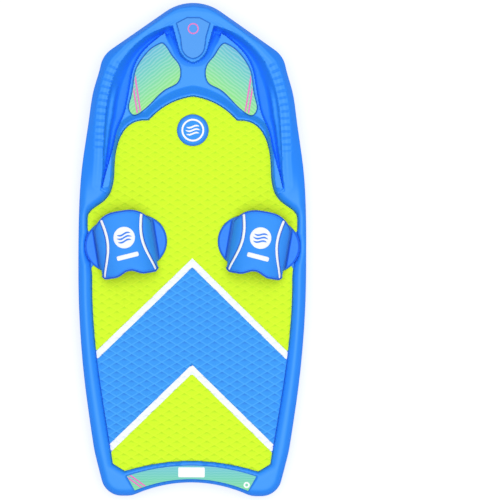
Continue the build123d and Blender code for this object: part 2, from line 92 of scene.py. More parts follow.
def loops(corners, edges):
    """Closed plan loops, the longest first, joined up from loose edges."""
    beside = defaultdict(list)
    for i, j in edges:
        beside[i].append(j)
        beside[j].append(i)
    found = []
    while beside:
        start = min(beside)
        path = [start]
        while True:
            here = path[-1]
            ahead = beside.get(here)
            if not ahead:
                break
            step = ahead.pop()
            beside[step].remove(here)
            for k in (here, step):
                if not beside[k]:
                    del beside[k]
            if step == start:
                break
            path.append(step)
        if len(path) > 2:
            found.append(corners[path][:, :2])
    return sorted(found, key=lambda loop: -length_of(loop - np.roll(loop, 1, axis=0)).sum())


def rims(node, level, down=False):
    """The outlines of a node's level faces at one height, as closed plan loops."""
    corners, triangles = mesh_arrays(node)
    a, b, c = (corners[triangles[:, k]] for k in range(3))
    facing = np.cross(b - a, c - a)[:, 2] * (-1 if down else 1) > -1e-3
    level_face = (np.stack([abs(k[:, 2] - level) for k in (a, b, c)]) < 0.25).all(axis=0)
    edges = Counter()
    for triangle in triangles[facing & level_face]:
        for k in range(3):
            edges[tuple(sorted((int(triangle[k]), int(triangle[k - 1]))))] += 1
    return loops(corners, [edge for edge, count in edges.items() if count == 1])


def wall_loop(node):
    """The plan outline of a node whose outer wall is upright and can be seen from its middle."""
    corners, triangles = mesh_arrays(node)
    a, b, c = (corners[triangles[:, k]] for k in range(3))
    normals = np.cross(b - a, c - a)
    size = length_of(normals)
    upright = (size > 1e-6) & (abs(normals[:, 2]) < 0.02 * size)
    corner_sets = np.stack([a, b, c], axis=1)[upright][:, :, :2]
    middle = corner_sets.mean(axis=1)
    out = normals[upright][:, :2] / size[upright][:, None]
    sides = [length_of(corner_sets[:, k] - corner_sets[:, k - 1]) for k in range(3)]
    longest = np.stack(sides, axis=1).argmax(axis=1)
    row = np.arange(len(longest))
    p, q = corner_sets[row, longest], corner_sets[row, longest - 1]
    outer = []
    for centre, direction in zip(middle, out):
        side_p = direction[0] * (p[:, 1] - centre[1]) - direction[1] * (p[:, 0] - centre[0])
        side_q = direction[0] * (q[:, 1] - centre[1]) - direction[1] * (q[:, 0] - centre[0])
        crossed = side_p * side_q < 0
        share = side_p[crossed] / (side_p[crossed] - side_q[crossed])
        hits = p[crossed] + share[:, None] * (q - p)[crossed]
        outer.append(((hits - centre) @ direction < 0.5).all())
    points = np.unique(np.round(corner_sets[np.array(outer)].reshape(-1, 2), 3), axis=0)
    return points[np.argsort(np.arctan2(points[:, 1], points[:, 0]))]


class Region:
    """A plan region bounded by closed loops."""

    def __init__(self, *outlines):
        starts, ends, points, arcs = [], [], [], []
        for loop in outlines:
            following = np.roll(loop, -1, axis=0)
            starts.append(loop)
            ends.append(following)
            run = 0.0
            for p, q in zip(loop, following):
                length = float(np.linalg.norm(q - p))
                count = max(1, int(length / RIM_STEP))
                t = np.arange(count) / count
                points.append(p + t[:, None] * (q - p))
                arcs.append(run + t * length)
                run += length
        self.starts, self.ends = np.concatenate(starts), np.concatenate(ends)
        self.set_rim(np.concatenate(points), np.concatenate(arcs))

    def set_rim(self, points, arcs):
        """The points to measure from, and how far along its loop each one is."""
        self.points, self.arcs = points, arcs
        self.tree = kdtree.KDTree(len(points))
        for i, (x, y) in enumerate(points):
            self.tree.insert((x, y, 0), i)
        self.tree.balance()

    def nearest(self, plan):
        """The index of the nearest rim point to each plan point, and its distance."""
        found = [self.tree.find((x, y, 0)) for x, y in plan]
        return np.array([f[1] for f in found]), np.array([f[2] for f in found])

    def inside(self, plan):
        """Whether each plan point is inside, by counting crossings towards +X."""
        (x0, y0), (x1, y1) = self.starts.T, self.ends.T
        result = np.empty(len(plan), dtype=bool)
        for start in range(0, len(plan), 4096):
            x, y = plan[start:start + 4096].T[:, :, None]
            spans = (y0 > y) != (y1 > y)
            with np.errstate(divide="ignore", invalid="ignore"):
                crossing = x0 + (y - y0) * (x1 - x0) / (y1 - y0)
            result[start:start + 4096] = (spans & (x < crossing)).sum(axis=1) % 2 == 1
        return result

    def depth(self, plan):
        """How far inside the rim each plan point is, negative outside."""
        return np.where(self.inside(plan), 1, -1) * self.nearest(plan)[1]


# --- curves and meshes
def smooth(low, high, value):
    """0 below low, 1 above high, and an S curve between."""
    t = np.clip((value - low) / (high - low), 0, 1)
    return t * t * (3 - 2 * t)


def ramp(distance, width, power):
    """1 at no distance, falling to 0 at width. A larger power is rounder at the far end."""
    return np.clip(1 - distance / width, 0, 1) ** power


def rocker(y, nose_radius, tail_radius):
    """How far the keel curves up at y."""
    nose, tail = np.clip(y - ROCKER_NOSE, 0, None), np.clip(ROCKER_TAIL - y, 0, None)
    rise = nose_radius - np.sqrt(nose_radius**2 - nose**2)
    return rise + tail_radius - np.sqrt(tail_radius**2 - tail**2)


def keel(y):
    return KEEL_Z + rocker(y, *KEEL_RADII)


def seam(y):
    """Where the hull and deck mouldings meet."""
    return SEAM_Z + rocker(y, *SEAM_RADII)


def top_line(y):
    """The top of the rails: low beside the pad, and rising to the nose."""
    fall = 10 * np.clip((ROCKER_TAIL - y) / 280, 0, 1) ** 2
    return RAIL_Z + (TOP_Z - RAIL_Z) * smooth(100, 340, y) - fall


def lattice(region, points, quads, reach):
    """Cells of a lattice over a region. Vertices on the cells' free edges are moved to the rim.

    reach is how far outside the rim a cell's corner may be. Returns the vertices kept, the faces, the
    depth of each vertex and the free edges."""
    depth = region.depth(points)
    good = depth > -reach
    faces = []
    count = good[quads].sum(axis=1)
    faces += [tuple(quad) for quad in quads[count == 4].tolist()]
    faces += [tuple(k for k in quad if good[k]) for quad in quads[count == 3].tolist()]
    used = sorted({k for face in faces for k in face})
    number = {k: i for i, k in enumerate(used)}
    faces = [tuple(number[k] for k in face) for face in faces]
    kept, depth = points[used].copy(), depth[used]
    edges = Counter()
    for face in faces:
        for k in range(len(face)):
            edges[tuple(sorted((face[k], face[k - 1])))] += 1
    lone = {edge for edge, uses in edges.items() if uses == 1}
    rim_vertices = sorted({k for edge in lone for k in edge})
    index, _ = region.nearest(kept[rim_vertices])
    kept[rim_vertices] = region.points[index]
    depth[rim_vertices] = 0
    return kept, faces, depth, lone


def grid(xs, ys):
    """A lattice's points and quads, for columns at xs and rows at ys."""
    x, y = np.meshgrid(xs, ys)
    index = np.arange(x.size).reshape(x.shape)
    quads = np.stack([index[:-1, :-1], index[:-1, 1:], index[1:, 1:], index[1:, :-1]], axis=-1)
    return np.stack([x.ravel(), y.ravel()], axis=1), quads.reshape(-1, 4)


def skirt(vertices, faces, lone, bottom):
    """Walls under the free edges of a surface, down or up to the height that bottom gives for each y."""
    vertices = list(map(tuple, vertices))
    below = {}
    for k in sorted({k for edge in lone for k in edge}):
        x, y, _ = vertices[k]
        below[k] = len(vertices)
        vertices.append((x, y, float(bottom(y))))
    walls = []
    for face in faces:
        for k in range(len(face)):
            i, j = face[k - 1], face[k]
            if tuple(sorted((i, j))) in lone:
                walls.append((j, i, below[i], below[j]))
    return vertices, list(faces) + walls, [(below[i], below[j]) for i, j in lone]


def ring_faces(rings, count, base=0):
    """Faces between neighbouring closed rings of count points each, numbered on from base."""
    faces = []
    for i in range(rings - 1):
        for k in range(count):
            a, b = base + i * count + k, base + i * count + (k + 1) % count
            faces.append((a, b, b + count, a + count))
    return faces


def make(name, vertices, faces, material, body="board", replaces=(), slot=None, angle=40, fill=(),
         **attributes):
    """A mesh object from vertices in mm. fill holds edges to close with triangles, and attributes values
    for the first vertices. The others get 0."""
    mesh = bpy.data.meshes.new(name)
    mesh.from_pydata([(x / 1000, y / 1000, z / 1000) for x, y, z in vertices], [], faces)
    for key, values in attributes.items():
        layer = mesh.attributes.new(key, "FLOAT", "POINT")
        full = np.zeros(len(mesh.vertices))
        full[:len(values)] = values
        layer.data.foreach_set("value", full)
    form = bmesh.new()
    form.from_mesh(mesh)
    if fill:
        form.verts.ensure_lookup_table()
        edges = [form.edges.get((form.verts[i], form.verts[j])) for i, j in fill]
        edges = [edge for edge in edges if edge]
        bmesh.ops.triangle_fill(form, use_beauty=True, use_dissolve=False, edges=edges)
    bmesh.ops.recalc_face_normals(form, faces=form.faces)
    form.to_mesh(mesh)
    form.free()
    mesh.materials.append(material)
    piece = bpy.data.objects.new(name, mesh)
    bpy.context.scene.collection.objects.link(piece)
    mesh.shade_smooth()
    mesh.set_sharp_from_angle(angle=math.radians(angle))
    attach(piece, body)
    if replaces:
        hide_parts(*replaces)
    return piece


# --- materials
def linear(red, green, blue):
    """A colour given from 0 to 255 on a screen, as a shader wants it."""
    def one(value):
        value /= 255
        return value / 12.92 if value < 0.04045 else ((value + 0.055) / 1.055) ** 2.4
    return (one(red), one(green), one(blue), 1.0)


class Paint:
    """A material and shortcuts for wiring up its nodes."""

    def __init__(self, name, color, rough=0.5, **sockets):
        self.material = bpy.data.materials.new(name)
        self.material.use_nodes = True
        self.tree = self.material.node_tree
        self.shader = self.tree.nodes["Principled BSDF"]
        self.shader.inputs["Base Color"].default_value = color
        self.shader.inputs["Roughness"].default_value = rough
        for key, value in sockets.items():
            self.shader.inputs[key.replace("_", " ")].default_value = value
        self.bump = None

    def node(self, kind, settings=(), **inputs):
        """A new node. An input is a value or another node's output, and i0 stands for the first one."""
        made = self.tree.nodes.new("ShaderNode" + kind)
        for key, value in dict(settings).items():
            setattr(made, key, value)
        for key, value in inputs.items():
            name = key.replace("_", " ")
            numbered = name[0] == "i" and name[1:].isdigit()
            socket = made.inputs[int(name[1:]) if numbered else name]
            if isinstance(value, bpy.types.NodeSocket):
                self.tree.links.new(value, socket)
            else:
                socket.default_value = value
        return made

    def place(self):
        return self.node("TexCoord").outputs["Object"]

    def up(self):
        """How far the surface faces up, from -1 to 1."""
        normal = self.node("NewGeometry").outputs["Normal"]
        return self.node("SeparateXYZ", Vector=normal).outputs["Z"]

    def math(self, operation, a, b=0.0):
        return self.node("Math", {"operation": operation}, i0=a, i1=b).outputs[0]

    def mix(self, share, a, b):
        return self.node("Mix", {"data_type": "RGBA"}, i0=share, i6=a, i7=b).outputs[2]

    def ramp(self, value, *stops):
        """Colours by value. Each stop is (position, colour)."""
        made = self.node("ValToRGB", Fac=value)
        while len(made.color_ramp.elements) < len(stops):
            made.color_ramp.elements.new(0.5)
        for element, (position, color) in zip(made.color_ramp.elements, stops):
            element.position = position
            element.color = color if hasattr(color, "__len__") else (color, color, color, 1)
        return made.outputs["Color"]

    def noise(self, scale, detail=2.0):
        return self.node("TexNoise", Scale=scale, Detail=detail, Vector=self.place()).outputs["Fac"]

    def wave(self, scale, distortion, **settings):
        made = self.node("TexWave", settings, Scale=scale, Distortion=distortion, Vector=self.place())
        return made.outputs["Fac"]

    def attribute(self, name):
        return self.node("Attribute", {"attribute_name": name}).outputs["Fac"]

    def color(self, output):
        self.tree.links.new(output, self.shader.inputs["Base Color"])
        return self

    def rough(self, output):
        self.tree.links.new(output, self.shader.inputs["Roughness"])
        return self

    def relief(self, height, depth, strength=1.0):
        """Bump by height, depth in mm. Later calls add to earlier ones."""
        made = self.node("Bump", Height=height, Distance=depth / 1000, Strength=strength)
        if self.bump:
            self.tree.links.new(self.bump, made.inputs["Normal"])
        self.bump = made.outputs["Normal"]
        self.tree.links.new(self.bump, self.shader.inputs["Normal"])
        return self


# navy painted shade for the narrow gaps round the deck's sunk graphics
GAP_SHADE_NAVY = linear(14, 66, 150)


def moulded(name, light, middle, dark, rough=0.42):
    """Moulded plastic with painted shade: paler where it is level, deeper blue on slopes and in sunk places,
    and navy in the narrow gaps round its sunk graphics.
    """
    paint = Paint(name, light, rough, Specular_IOR_Level=0.1)
    steep = paint.math("SUBTRACT", 1.0, paint.math("ABSOLUTE", paint.up()))
    slope = paint.ramp(steep, (0.0, light), (0.1, middle), (0.38, dark))
    shaded = paint.mix(paint.attribute("deep"), slope, dark)
    shaded = paint.mix(paint.math("MULTIPLY", paint.noise(9.0, 3.0), 0.1), shaded, middle)
    # navy painted shade where the gap line is marked
    paint.color(paint.mix(paint.attribute("line"), shaded, GAP_SHADE_NAVY))
    paint.rough(paint.math("ADD", paint.math("MULTIPLY", paint.noise(40.0, 4.0), 0.16), rough - 0.08))
    paint.relief(paint.noise(900.0, 2.0), 0.05)
    paint.relief(paint.noise(25.0, 2.0), 0.25)
    return paint


def foam(name, color, low, groove):
    """Closed-cell foam: fine pores, with painted shade in the colour low where its dents are marked and a
    painted highlight in the colour groove on its raised lines.
    """
    paint = Paint(name, color, 0.72, Sheen_Weight=0.1)
    # painted shade in the marked dents, then a painted highlight on the marked raised lines
    base = paint.mix(paint.attribute("deep"), color, low)
    lines = paint.mix(paint.attribute("line"), base, groove)
    pores = paint.noise(1300.0, 2.0)
    paint.color(paint.mix(paint.math("MULTIPLY", paint.noise(14.0, 3.0), 0.08), lines, low))
    paint.relief(pores, 0.07)
    paint.relief(paint.noise(60.0, 2.0), 0.15)
    return paint


def woven(name, color, thread, scale=1400.0, rough=0.75, sheen=0.35, painted_slope_shade=None):
    """Fabric with a fine over-and-under weave, and painted shade in a deeper colour on its sloping faces when
    one is given.
    """
    paint = Paint(name, color, rough, Sheen_Weight=sheen, Sheen_Roughness=0.4)
    across = paint.wave(scale / 6.3, 0.6, bands_direction="X")
    along = paint.wave(scale / 6.3, 0.6, bands_direction="Y")
    weave = paint.math("MULTIPLY", across, along)
    worn = paint.noise(35.0, 4.0)
    mixed = paint.mix(paint.math("MULTIPLY", weave, 0.35), color, thread)
    # painted shade: a deeper colour where the fabric faces away from straight up
    if painted_slope_shade:
        mixed = paint.mix(paint.ramp(paint.up(), (0.1, 1.0), (0.9, 0.0)), mixed, painted_slope_shade)
    paint.color(paint.mix(paint.math("MULTIPLY", worn, 0.3), mixed, thread))
    paint.relief(weave, 0.12)
    paint.relief(worn, 0.5, 0.6)
    return paint


def stripes_film(name, stops, angle, waves):
    """Printed film: a colour gradient along one direction, with fine wavy lines across it."""
    paint = Paint(name, stops[0][1], 0.35, Specular_IOR_Level=0.3)
    x, y = waves["middle"]
    moved = paint.node("Mapping", Vector=paint.place(), Location=(-x, -y, 0)).outputs["Vector"]
    turned = paint.node("Mapping", Vector=moved, Rotation=(0, 0, math.radians(angle))).outputs["Vector"]
    along = paint.node("SeparateXYZ", Vector=turned).outputs["X"]
    gradient = paint.ramp(paint.math("ADD", paint.math("MULTIPLY", along, waves["span"]), 0.5), *stops)
    lines = paint.node("TexWave", {"bands_direction": "X"}, Scale=waves["scale"], Distortion=waves["bend"],
                       Detail=1.0, Detail_Scale=1.2, Vector=turned).outputs["Fac"]
    faded = paint.ramp(lines, (0.35, 0.0), (0.8, waves["strength"]))
    paint.color(paint.mix(faded, gradient, waves["ink_and_gap_shade"]))
    paint.relief(paint.noise(1500.0), 0.02)
    return paint


def plain(name, color, rough, grain, depth, **sockets):
    """One colour with a fine grain."""
    paint = Paint(name, color, rough, **sockets)
    return paint.relief(paint.noise(grain), depth)


# level colour, then the deeper blues of painted shade on slopes and in sunk places
deck_paint = moulded("deck_plastic", linear(70, 156, 246), linear(50, 142, 248), linear(40, 134, 248))
hull_paint = moulded("hull_plastic", linear(92, 173, 254), linear(74, 160, 254), linear(52, 140, 250),
                     0.38)
core_paint = foam("core_foam", (0.85, 0.84, 0.78, 1), (0.7, 0.68, 0.6, 1), (0.6, 0.58, 0.5, 1))
# each pad foam: its colour, a deeper one for painted shade in its dents, and a paler one for a painted
# highlight on its raised lines
lime_paint = foam("pad_lime", linear(211, 249, 0), linear(184, 232, 0), linear(217, 251, 24))
blue_paint = foam("pad_blue", linear(40, 150, 240), linear(28, 122, 222), linear(66, 168, 248))
white_paint = foam("pad_white", linear(246, 248, 252), linear(228, 236, 248), linear(250, 251, 253))
# the cover's sloping sides get a deeper blue as painted shade
strap_paint = woven("strap_fabric", linear(46, 148, 246), linear(32, 130, 240), sheen=0.03,
                    painted_slope_shade=(0.0, 0.26, 1.0, 1))
lining_paint = woven("strap_lining", linear(42, 104, 208), linear(30, 80, 172), 900.0)
trim_paint = woven("white_trim", (0.93, 0.94, 0.95, 1), (0.84, 0.87, 0.92, 1), 2200.0, 0.6, 0.1)
tape_paint = woven("tape", (0.05, 0.06, 0.08, 1), (0.02, 0.02, 0.03, 1), 2600.0, 0.95, 0.6)
# the rubber gets the same painted shade on its slopes
rubber_paint = moulded("fairing_rubber", linear(60, 140, 250), linear(50, 124, 248),
                       linear(36, 100, 234), 0.5)
binding_paint = woven("strap_binding", linear(26, 96, 220), linear(16, 76, 190), 2400.0, sheen=0.03)
thread_paint = woven("thread", linear(48, 116, 232), linear(36, 96, 212), 3000.0)
ink_paint = woven("emblem_ink", linear(60, 138, 242), linear(44, 112, 220), 3000.0)
pink_paint = plain("pink_film", linear(218, 92, 180), 0.4, 1200.0, 0.02, Coat_Weight=0.3)
label_paint = plain("white_film", (0.86, 0.87, 0.88, 1), 0.4, 1200.0, 0.02, Coat_Weight=0.3)
steel_paint = Paint("steel", (0.62, 0.63, 0.64, 1), 0.32, Metallic=1.0)
steel_paint.relief(steel_paint.wave(900.0, 1.0), 0.02)
brass_paint = plain("brass", (0.78, 0.6, 0.3, 1), 0.35, 700.0, 0.02, Metallic=1.0)
badge_paint = plain("badge_plastic", linear(58, 148, 234), 0.35, 300.0, 0.03, Specular_IOR_Level=0.3)
nose_film = {
    side: stripes_film(
        f"print_film_{name}",
        [(0.0, linear(58, 158, 224)), (0.4, linear(104, 202, 178)), (0.75, linear(140, 224, 108)),
         (1.0, linear(164, 234, 72))],
        90 + side * 38,
        {"middle": (side * 0.104, 0.463), "span": 4.6, "scale": 38.0, "bend": 3.2,
         "strength": 0.14, "ink_and_gap_shade": linear(250, 255, 252)})
    for name, side in SIDES.items()
}
tail_film = stripes_film(
    "print_film_tail",
    [(0.0, linear(124, 218, 120)), (0.45, linear(96, 200, 166)), (1.0, linear(84, 178, 214))],
    -90,
    {"middle": (0, -0.62), "span": 11.0, "scale": 70.0, "bend": 2.0, "strength": 0.3,
     "ink_and_gap_shade": linear(176, 232, 226)})


# --- the board's plan shapes
outline = Region(wall_loop("deck_shell"))
pan_rims = [loop for loop in rims("deck_shell", PAN_Z) if np.ptp(loop[:, 0]) > 60]
pan = Region(*pan_rims)
platform = Region(rims("deck_shell", PLATFORM_Z)[0])
groove_loop = rims("deck_shell", GROOVE_Z)[0]
groove = Region(groove_loop)
petals = Region(*rims("deck_shell", PLATFORM_Z - INSET)[:2])
badge = Region(rims("deck_shell", TOP_Z - INSET)[0])
tail_band = Region(rims("deck_shell", BAND_Z)[0])


def part_of(loop, wanted):
    """The points of a closed loop that pass a test, as an open rim to measure from."""
    part = Region(loop)
    keep = wanted(part.points)
    part.set_rim(part.points[keep], part.arcs[keep])
    return part


def beside_tongue(points):
    return (abs(points[:, 0]) < 56.5) & (points[:, 1] > 500)


def beside_platform(points):
    return platform.nearest(points)[1] < 1.0


lip = part_of(groove_loop, lambda points: ~beside_tongue(points) & ~beside_platform(points))
tongue_side = part_of(groove_loop, lambda points: beside_tongue(points) & ~beside_platform(points))
platform_side = part_of(groove_loop, beside_platform)
basin = Region(groove_loop[~beside_tongue(groove_loop) & ~beside_platform(groove_loop)])

# the highest line of the nose rail, from the middle of the nose to the straps
crest_line = np.array([
    (0, 645), (40, 640), (75, 625), (120, 594), (168, 554), (211, 508), (224, 482), (231, 461),
    (237, 437), (244, 408), (249, 375), (251, 344), (253, 309), (255, 243), (260, 175)], float)
both_crests = np.concatenate([crest_line[::-1] * (-1, 1), crest_line[1:]])
crest = part_of(both_crests, lambda points: points[:, 1] > 175.1)
crest_depth = outline.depth(crest.points)


def deck_height(points, detail=True):
    """The deck moulding's top at plan points, and how much painted shade each one gets, from 0 to 1."""
    x, y = points.T
    nose = smooth(110, 250, y)
    edge = outline.depth(points)
    top = top_line(y)
    nearest_crest, from_crest = crest.nearest(points)
    outer = smooth(3, -3, edge - crest_depth[nearest_crest])
    slope = np.clip(edge / np.clip(edge + from_crest - 12, 12, 40), 0, 1)
    inner_side = (1 - outer) * smooth(75, 110, abs(x))
    rounding = 2.5 * smooth(0, 12, from_crest) * (outer + inner_side * smooth(17, 14, from_crest))
    drop = (1 - nose) * 15 * ramp(edge, 22, 2.0) + nose * (20 * (1 - slope) ** 1.15 + rounding)
    d_lip, d_side, d_tongue = (part.nearest(points)[1] for part in (lip, platform_side, tongue_side))
    in_groove, in_pan = groove.inside(points), pan.inside(points)
    in_tongue = (abs(x) < 57) & (y > 500) & (d_tongue < d_side) & ~in_groove
    in_platform = basin.inside(points) & ~in_groove & ~in_pan & ~in_tongue
    pan_distance = pan.nearest(points)[1]
    height = top - drop
    sunk = np.zeros(len(points))

    # the rail beside the pad rolls down to the foam
    beside_pad = ~in_groove & ~in_platform & ~in_pan
    roll = (1 - nose) * (top - ROLL_Z) * ramp(pan_distance, 21, 2.0)
    roll += nose * (top - LOW_Z) * ramp(pan_distance, 5, 1.0)
    height = np.where(beside_pad, height - roll, height)

    # ribs across the crest of the nose rail, with painted shade in them and on the slopes either side of the
    # crest
    if detail:
        index, from_lip = lip.nearest(points)
        arc = lip.arcs[index]
        across_rib = abs((arc / RIB_PITCH) % 1 - 0.5) * 2
        rib = (1 - smooth(0.16, 0.30, across_rib)) * smooth(255, 275, y) * smooth(515, 500, y)
        rib_depth = rib * smooth(15, 12, from_crest) * smooth(-1, 3, from_lip)
        height = np.where(beside_pad, height - RIB_DEPTH * rib_depth, height)
        # painted shade on the slopes either side of the crest
        shade = nose * (0.75 * outer * smooth(9, 15, from_crest)
                        + 0.4 * inner_side * smooth(11, 15, from_crest))
        sunk = np.where(beside_pad, np.maximum(0.7 * rib_depth, shade), sunk)

    # the groove for fingers and rope, with painted shade low down in it
    width = d_lip + np.minimum(d_side, d_tongue)
    floor = GROOVE_Z + 10 * smooth(270, 165, y)
    share = d_lip / np.clip(0.6 * width, 3, 27)
    even = np.clip(1 - share, 0, 1) ** 1.15
    stepped = np.interp(share, (0, 0.22, 0.62, 0.8, 1), (1, 0.66, 0.58, 0.2, 0))
    step = smooth(470, 400, y)
    by_tongue = smooth(6, -6, d_tongue - d_lip)
    side_width = by_tongue * 0.72 * width + (1 - by_tongue) * np.clip(0.25 * width, 2.5, 6)
    wall = np.maximum(
        (top - floor) * (even * (1 - step) + stepped * step),
        np.maximum((PLATFORM_Z - floor) * ramp(d_side, side_width, 1.4),
                   (top - floor) * ramp(d_tongue, 5, 1.6)))
    height = np.where(in_groove, floor + wall, height)
    # painted shade low down in the groove
    sunk = np.where(in_groove, (1 - smooth(0.0, 19.0, wall)) * smooth(150, 260, y), sunk)

    # the platform, which slopes down to the foam along its rear edge, with painted shade on that slope
    ledge = 7 * smooth(280, 330, y)
    slope_width = 21 - 8 * smooth(0, 200, abs(x)) - 5 * smooth(340, 290, y)
    front = (PLATFORM_Z - ROLL_Z) * ramp(np.clip(pan_distance - ledge, 0, None), slope_width, 1.08)
    level = np.minimum(PLATFORM_Z, top)
    height = np.where(in_platform, np.clip(level - front, LOW_Z, None), height)
    # painted shade on the sloping rear edge
    sloping = smooth(0.0, 4.0, front) * smooth(ledge - 3, ledge + 1, pan_distance)
    sunk = np.where(in_platform, 0.6 * sloping, sunk)

    # the sunk graphics
    around_band = np.clip(-tail_band.depth(points), 0, None)
    dish = 85.5 + 1.3 * around_band + 40 * smooth(60, 90, around_band)
    return np.where(in_pan, PAN_Z, np.minimum(height, dish)), sunk


def snapped(points, region, pitch):
    """Lattice points near a region's rim are moved onto it. Also says which points are then in it."""
    depth = region.depth(points)
    near = abs(depth) < 0.55 * pitch
    index, _ = region.nearest(points[near])
    points[near] = region.points[index]
    return depth > -0.55 * pitch


def build_deck():
    """The deck moulding's top and its outer wall, finer where the nose has its groove and ribs."""
    pitch, nose_pitch = 2.6, 2.1
    xs = np.arange(-122, 123) * (pitch * 620 / 634.4)
    ys = np.concatenate([np.arange(-672, 150, 3.3), np.arange(150, 674, nose_pitch)])
    points, quads = grid(xs, ys)
    kept, faces, depth, lone = lattice(outline, points, quads, 1.2)
    free = depth > 1.0
    moved = kept[free]
    in_pan = snapped(moved, pan, pitch)
    clear = abs(pan.depth(moved)) > 4
    moved_here = moved[clear]
    snapped(moved_here, groove, nose_pitch)
    moved[clear] = moved_here
    kept[free] = moved
    height, sunk = deck_height(kept)
    height[np.flatnonzero(free)[in_pan]] = PAN_Z
    line = np.zeros(len(kept))
    # the bank round each sunk graphic, with painted shade in the recess beside it and navy painted shade
    # along the gap at its edge
    for region, z, wide, ink_and_gap_shade in (
            (petals, 96.2, 3.6, 0.75), (badge, 118.2, 3.0, 0.55), (tail_band, 82.8, 3.4, 0.4)):
        apart = -region.depth(kept)
        bank = 9 * smooth(0.6, 3 * wide, apart) * (apart > 0) + 40 * (apart > 3 * wide)
        height = np.minimum(height, z + bank)
        sunk = np.maximum(sunk, 0.5 * smooth(wide, 0.8, abs(apart)))
        line = np.maximum(line, ink_and_gap_shade * smooth(2.8, 1.6, abs(apart - 0.6)))
    vertices = np.column_stack([kept, height])
    vertices, faces, foot = skirt(vertices, faces, lone, seam)
    return vertices, faces, foot, sunk, line


def under_skin(height_of, region, offset):
    """The coarse inner face of a moulding: a surface offset by its wall, with a skirt to the seam."""
    points, quads = grid(np.arange(-310, 311, COARSE), np.arange(-670, 671, COARSE))
    kept, faces, _, lone = lattice(region, points, quads, 4.0)
    vertices = np.column_stack([kept, height_of(kept) + offset])
    return skirt(vertices, faces, lone, seam)


def joined(first, second):
    """Two (vertices, faces, free edges) sets as one."""
    base = len(first[0])
    return (list(first[0]) + list(second[0]),
            list(first[1]) + [tuple(k + base for k in face) for face in second[1]],
            list(first[2]) + [(i + base, j + base) for i, j in second[2]])


def lowest(points):
    """The least height of the deck moulding within a coarse lattice's step of each plan point."""
    steps = [(dx, dy) for dx in (-9, 0, 9) for dy in (-9, 0, 9)]
    return np.min([deck_height(points + step, False)[0] for step in steps], axis=0)


inner = Region(wall_loop("foam_core"))
vertices, faces, foot, sunk, line = build_deck()
vertices, faces, foot = joined((vertices, faces, foot), under_skin(lowest, inner, -SKIN))
# sunk carries the deck's painted shade, and line its navy painted shade in the gaps
make("deck", vertices, faces, deck_paint.material, replaces=["deck_shell"], slot="deck_plastic",
     angle=55, fill=foot, deep=sunk, line=line)


# --- hull and core
# half the spacing of the strakes' outer edges by y, in pairs of (ys, xs)
STRAKE_IN = ((-560, -400, -150, 150, 330, 425), (86, 89, 91.5, 91.5, 88.5, 81))
STRAKE_OUT = ((-560, -468, -350, -180, 40, 215), (190, 203, 221, 233, 239, 234))


def hull_height(points, detail=True):
    """The hull moulding's underside at plan points."""
    x, y = abs(points[:, 0]), points[:, 1]
    edge = outline.depth(points)
    width = 25 - 22 * smooth(110, 80, x) * smooth(-600, -640, y)
    height = keel(y) + width * ramp(edge, width, 1.12)
    if detail:
        step = np.interp(y, *STRAKE_IN)
        there = smooth(-566, -552, y) * smooth(430, 410, y)
        sides = np.where(x < step, smooth(step - 17, step - 3, x), smooth(step + 4, step, x))
        height -= 6 * there * sides
        line = np.interp(y, *STRAKE_OUT)
        there = smooth(-566, -552, y) * smooth(220, 190, y)
        height -= 3.5 * there * smooth(6.5, 2.5, abs(x - line + 3.5))
        ring = np.hypot(x, y - RINGS_Y)
        height -= 1.6 * smooth(6, 3.5, abs(ring - RING_RADII[0]))
        height -= 1.0 * smooth(4, 2, abs(ring - RING_RADII[1]))
    return height


def fin(side):
    """One moulded fin, a rounded bar that grows out of the hull."""
    vertices, faces = [], []
    tip_length, rows = 9, 9
    turn = np.linspace(0, math.pi / 2, 7)
    ys = np.concatenate([FIN_TIP - tip_length * np.cos(turn), np.linspace(-618, -448, 30)])
    for y in ys:
        end = math.sqrt(max(0.0, 1 - ((FIN_TIP - y) / 9.5) ** 2)) if y < FIN_TIP else 1.0
        half = FIN_HALF * max(end, 0.12)
        foot = min(7 * float(smooth(-500, -450, y)) + 4 * (1 - end), float(keel(y)))
        for k in range(rows):
            angle = math.pi * k / (rows - 1)
            squared = math.copysign(abs(math.cos(angle)) ** 0.45, math.cos(angle))
            depth = math.sin(angle) ** 0.4 if 0 < k < rows - 1 else 0
            top = float(keel(y)) + 3
            vertices.append((side * FIN_X + half * squared, y, top + (foot - top) * depth))
    for i in range(len(ys) - 1):
        for k in range(rows - 1):
            a = i * rows + k
            faces.append((a, a + 1, a + rows + 1, a + rows))
        faces.append((i * rows, (i + 1) * rows, (i + 1) * rows + rows - 1, i * rows + rows - 1))
    faces += [tuple(range(rows)), tuple(range((len(ys) - 1) * rows, len(ys) * rows))]
    return vertices, faces, []


points, quads = grid(np.arange(-89, 90) * (3.5 * 620 / 623), np.arange(-672, 674, 4.0))
kept, faces, _, lone = lattice(outline, points, quads, 1.5)
shape = skirt(np.column_stack([kept, hull_height(kept)]), faces, lone, lambda y: seam(y) - 0.3)
shape = joined(shape, under_skin(lambda points: hull_height(points, False), inner, SKIN))
for side in SIDES.values():
    shape = joined(shape, fin(side))
vertices, faces, foot = shape
make("hull", vertices, faces, hull_paint.material, replaces=["hull_shell"], slot="hull_plastic",
     angle=50, fill=foot)

points, quads = grid(np.arange(-300, 301, COARSE), np.arange(-660, 661, COARSE))
kept, faces, _, lone = lattice(inner, points, quads, -3.0)
roof = (np.column_stack([kept, lowest(kept) - CORE_GAP]), faces, [])
bed = (np.column_stack([kept, hull_height(kept, False) + CORE_GAP]), faces, [])
vertices, faces, _ = joined(roof, bed)
count = len(kept)
faces += [(i, j, j + count, i + count) for i, j in sorted(lone)]
make("core", vertices, faces, core_paint.material, replaces=["foam_core"], slot="core_foam")


# --- foam pads
DIAMOND_W, DIAMOND_L = 41.0, 23.5
FINE = np.array([0, 0.055, 0.13, 0.28, 0.5, 0.72, 0.87, 0.945])  # lattice lines within a diamond


